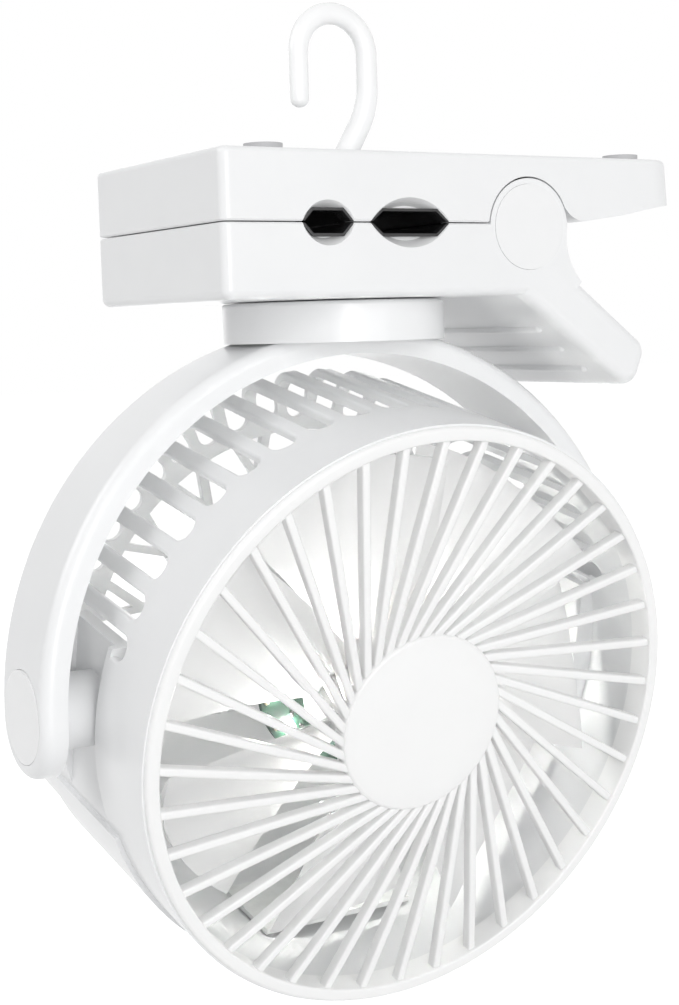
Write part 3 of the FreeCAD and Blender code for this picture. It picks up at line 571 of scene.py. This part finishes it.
# One row of points across the blade's front or back skin
def bladeRow(s, radius, side):
    width, pitch, sweep = bladeSize(s["sections"], radius)
    pitch = math.radians(pitch)
    row = []
    for j in range(s["across"] + 1):
        t = j / s["across"] - 0.5
        fullness = math.sqrt(max(0.0, 1 - (2 * t) ** 4))
        camber = s["camber"] * width * (1 - 4 * t * t) + side * s["thick"] / 2 * fullness
        across = t * width * math.cos(pitch) - camber * math.sin(pitch) + sweep
        deep = t * width * math.sin(pitch) + camber * math.cos(pitch)
        widest = min(abs(across), radius * s["widestShare"])
        row.append((math.sqrt(max(1e-9, radius ** 2 - widest ** 2)), s["middle"] + deep, across))
    return row


def makeBlade(s):
    form = bmesh.new()
    root = s["hub"] - s["intoHub"]
    skins = []
    for side in (1, -1):
        grid = []
        for i in range(s["along"] + 1):
            radius = root + (s["tip"] - root) * i / s["along"]
            grid.append([form.verts.new(point) for point in bladeRow(s, radius, side)])
        skins.append(grid)
        for i in range(s["along"]):
            for j in range(s["across"]):
                form.faces.new((grid[i][j], grid[i + 1][j], grid[i + 1][j + 1], grid[i][j + 1]))
    front, back = skins
    for j in range(s["across"]):
        for i in (0, s["along"]):
            form.faces.new((front[i][j], front[i][j + 1], back[i][j + 1], back[i][j]))
    closeForm(form)
    return meshFrom(form, "blade")


def makeHub(s):
    r, inside = s["hubRound"], s["hubFront"] + s["hubFace"]
    core = s["middle"] + s["coreBack"]
    profile = [(0, s["hubFront"])]
    profile += cornerArc((s["hub"] - r, s["hubFront"] + r), r, -90, 0)
    profile += [(s["hub"], s["hubBack"]), (s["hub"] - s["hubWall"], s["hubBack"]),
                (s["hub"] - s["hubWall"], inside), (s["coreRadius"], inside),
                (s["coreRadius"], core), (0, core)]
    return turnedMesh(profile, s["hubSteps"], "bladeWhite")


blades = aroundHead(makeBlade(wheel), wheel["blades"], "bladeWhite")
finishPiece("fanWheel", [blades, makeHub(wheel)], "air_wheel", ["blade_wheel"],
            headMatrix(headPlace))


# Grip liners: the black lip of each pole notch and the fine ribs along its flats
gripLiner = {
    "notches": [(-0.02115, 0.00705, 0.0042), (0.0013, 0.0113, 0.00775)],  # middle, half, half flat
    "rise": 0.00325, "gap": 0.0002,
    "lip": 0.0007, "lipEndShare": 1.3, "lipCornerShare": 0.4, "lipRound": 0.00012,
    "lipFront": -0.0342, "lipBack": -0.0300,
    "ribStep": 0.0021, "ribWide": 0.0007, "ribHigh": 0.0004, "ribRound": 0.00015,
    "ribMargin": 0.001, "ribFront": -0.0304, "ribBack": 0.0304, "segments": 2,
}


def makeLip(s, sign, middle, half, flat):
    rise, lip = s["rise"], s["lip"]
    end, corner = s["lipEndShare"] * lip, s["lipCornerShare"] * lip
    outer = [(middle - half, s["gap"]), (middle - flat, rise),
             (middle + flat, rise), (middle + half, s["gap"])]
    inner = [(middle - half + end, s["gap"]), (middle - flat + corner, rise - lip),
             (middle + flat - corner, rise - lip), (middle + half - end, s["gap"])]
    form = bmesh.new()
    rings = []
    for y in (s["lipFront"], s["lipBack"]):
        rings.append([form.verts.new((x, y, sign * z)) for x, z in outer + inner[::-1]])
    front, back = rings
    total = len(front)
    for k in range(total):
        after = (k + 1) % total
        form.faces.new((front[k], front[after], back[after], back[k]))
    for ring in rings:
        for k in range(len(outer) - 1):
            form.faces.new((ring[k], ring[k + 1], ring[total - 2 - k], ring[total - 1 - k]))
    bmesh.ops.recalc_face_normals(form, faces=form.faces[:])
    bmesh.ops.bevel(form, geom=form.edges[:], offset=s["lipRound"], segments=s["segments"],
                    profile=0.5, affect="EDGES")
    mesh = meshFrom(form, "lip")
    mesh.materials.append(finishes["padBlack"])
    return mesh


def makeRibs(s, sign, middle, flat):
    count = int(2 * (flat - s["ribMargin"]) / s["ribStep"]) + 1
    start = middle - (count - 1) * s["ribStep"] / 2
    low, high = sorted((sign * s["rise"], sign * (s["rise"] - s["ribHigh"])))
    rib = roundedBox((start - s["ribWide"] / 2, s["ribFront"], low),
                     (start + s["ribWide"] / 2, s["ribBack"], high), s["ribRound"], s["segments"])
    return inRow(rib, count, (s["ribStep"], 0, 0), "padBlack")


def makeLiner(s, name, sign, body):
    meshes = []
    for middle, half, flat in s["notches"]:
        meshes.append(makeLip(s, sign, middle, half, flat))
        meshes.append(makeRibs(s, sign, middle, flat))
    finishPiece(name, meshes, body)


makeLiner(gripLiner, "upperGripLiner", 1, "clamp_base")
makeLiner(gripLiner, "lowerGripLiner", -1, "lower_clamp")
